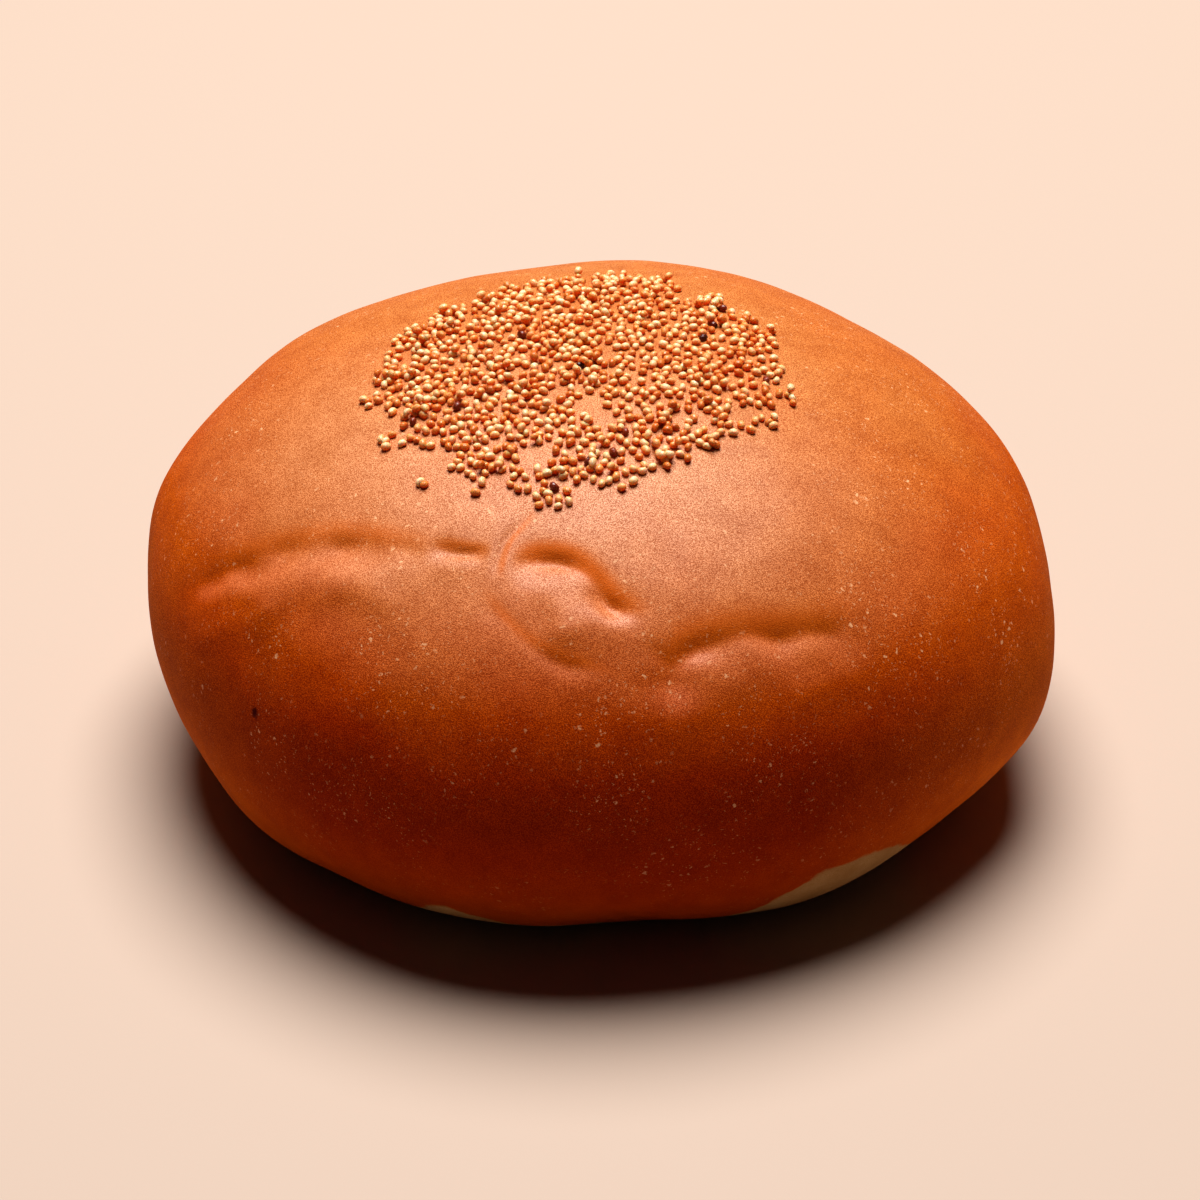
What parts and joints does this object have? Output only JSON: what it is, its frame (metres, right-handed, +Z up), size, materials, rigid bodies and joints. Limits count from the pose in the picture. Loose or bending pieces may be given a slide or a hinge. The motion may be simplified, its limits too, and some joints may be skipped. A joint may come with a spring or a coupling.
{
  "type": "bean paste bun",
  "caption": "Round baked bun with a domed glossy brown crust, soft folds across its front and a patch of poppy seeds on its crown.",
  "frame": {"origin": "middle of the bun's outline, at the height of the flat base that it rests on", "axes": "+Z up through the crown, +X along the bun's widest line, -Y towards the folded front"},
  "size_m": [0.0932, 0.087, 0.0476],
  "materials": {
    "crust": "baked crust with a satin egg glaze, light orange on the crown, red-brown on the sides, golden at the foot and pale cream underneath",
    "seeds": "dry poppy seeds, cream to golden with some brown and a few black"
  },
  "bodies": {
    "root": {"bun": "crust", "poppy_seeds": "seeds"}
  },
  "joints": []
}
